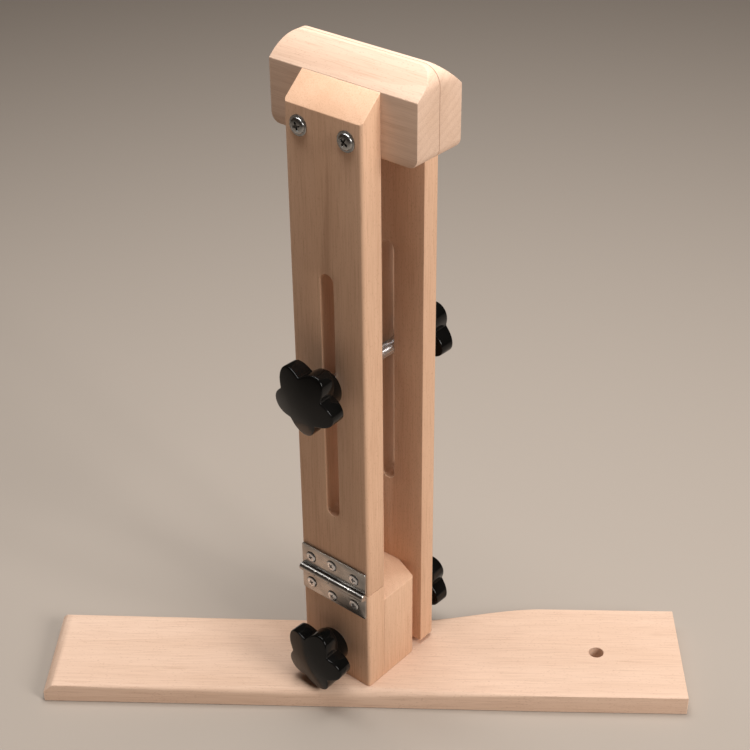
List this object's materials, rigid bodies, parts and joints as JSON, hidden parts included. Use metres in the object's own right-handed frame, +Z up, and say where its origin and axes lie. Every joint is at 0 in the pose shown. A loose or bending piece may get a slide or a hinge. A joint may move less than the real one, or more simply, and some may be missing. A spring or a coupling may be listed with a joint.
{
  "type": "leather stitching pony",
  "caption": "Wooden leather stitching pony: an upright clamp with a hinged front jaw and black star knobs, swivelling on a long base plank with a peg hole.",
  "frame": {"origin": "on the swivel axis of the upright, at the underside of the base plank", "axes": "+X along the width of the jaws to the right, +Y from the hinged front board to the fixed rear board, +Z up"},
  "size_m": [0.4415, 0.3825, 0.5125],
  "materials": {
    "beech": "matt, waxed beech",
    "pad_beech": "matt beech with end grain showing",
    "dark_steel": "dark, slightly glossy",
    "stainless": "satin brushed",
    "bright_steel": "bright zinc",
    "black_plastic": "glossy",
    "brass": "plain turned"
  },
  "bodies": {
    "plank": {"base_plank": "beech"},
    "stand": {"swivel_bolt": "dark_steel", "swivel_washer": "bright_steel", "swivel_insert": "brass", "lower_front_post": "beech", "spacer_block": "beech", "rear_board": "beech", "rear_jaw_pad": "pad_beech", "rear_pad_screws": "dark_steel", "hinge_lower_leaf": "stainless", "hinge_pin": "stainless", "hinge_lower_screws": "stainless", "lower_rod": "bright_steel"},
    "front_jaw": {"front_board": "beech", "front_jaw_pad": "pad_beech", "front_pad_screws": "dark_steel", "hinge_upper_leaf": "stainless", "hinge_upper_screws": "stainless"},
    "rod_carriage": {"clamp_rod": "bright_steel"},
    "clamp_front_collar": {"clamp_front_washer": "bright_steel"},
    "clamp_front_grip": {"clamp_front_knob": "black_plastic", "clamp_front_insert": "brass"},
    "clamp_rear_collar": {"clamp_rear_washer": "bright_steel"},
    "clamp_rear_grip": {"clamp_rear_knob": "black_plastic", "clamp_rear_insert": "brass"},
    "lower_front_collar": {"lower_front_washer": "bright_steel"},
    "lower_front_grip": {"lower_front_knob": "black_plastic", "lower_front_insert": "brass"},
    "lower_rear_collar": {"lower_rear_washer": "bright_steel"},
    "lower_rear_grip": {"lower_rear_knob": "black_plastic", "lower_rear_insert": "brass"}
  },
  "joints": [
    {"name": "upright_swivel", "type": "hinge", "parent": "plank", "child": "stand", "pos_m": [0, 0, 0], "axis": [0, 0, 1], "continuous": true},
    {"name": "jaw_open", "type": "hinge", "parent": "stand", "child": "front_jaw", "pos_m": [0, -0.03435, 0.106], "axis": [1, 0, 0], "range_deg": [0, 2.6]},
    {"name": "rod_height", "type": "slide", "parent": "stand", "child": "rod_carriage", "axis": [0, 0, 1], "range_m": [-0.107, 0.078]},
    {"name": "clamp_front_travel", "type": "slide", "parent": "rod_carriage", "child": "clamp_front_collar", "axis": [0, -1, 0], "range_m": [0, 0.012]},
    {"name": "clamp_front_spin", "type": "hinge", "parent": "clamp_front_collar", "child": "clamp_front_grip", "pos_m": [0, -0.03125, 0.2795], "axis": [0, -1, 0], "range_deg": [0, 2880]},
    {"name": "clamp_rear_travel", "type": "slide", "parent": "rod_carriage", "child": "clamp_rear_collar", "axis": [0, 1, 0], "range_m": [0, 0.012]},
    {"name": "clamp_rear_spin", "type": "hinge", "parent": "clamp_rear_collar", "child": "clamp_rear_grip", "pos_m": [0, 0.04675, 0.2795], "axis": [0, 1, 0], "range_deg": [0, 2880]},
    {"name": "lower_front_travel", "type": "slide", "parent": "stand", "child": "lower_front_collar", "axis": [0, -1, 0], "range_m": [0, 0.012]},
    {"name": "lower_front_spin", "type": "hinge", "parent": "lower_front_collar", "child": "lower_front_grip", "pos_m": [0, -0.03125, 0.0452], "axis": [0, -1, 0], "range_deg": [0, 2880]},
    {"name": "lower_rear_travel", "type": "slide", "parent": "stand", "child": "lower_rear_collar", "axis": [0, 1, 0], "range_m": [0, 0.012]},
    {"name": "lower_rear_spin", "type": "hinge", "parent": "lower_rear_collar", "child": "lower_rear_grip", "pos_m": [0, 0.04675, 0.0452], "axis": [0, 1, 0], "range_deg": [0, 2880]}
  ],
  "couplings": [
    {"joint": "jaw_open", "follows": "clamp_front_spin", "ratio": 0.00090278},
    {"joint": "clamp_front_travel", "follows": "clamp_front_spin", "m_per_rad": 0.00023873},
    {"joint": "clamp_rear_travel", "follows": "clamp_rear_spin", "m_per_rad": 0.00023873},
    {"joint": "lower_front_travel", "follows": "lower_front_spin", "m_per_rad": 0.00023873},
    {"joint": "lower_rear_travel", "follows": "lower_rear_spin", "m_per_rad": 0.00023873}
  ]
}
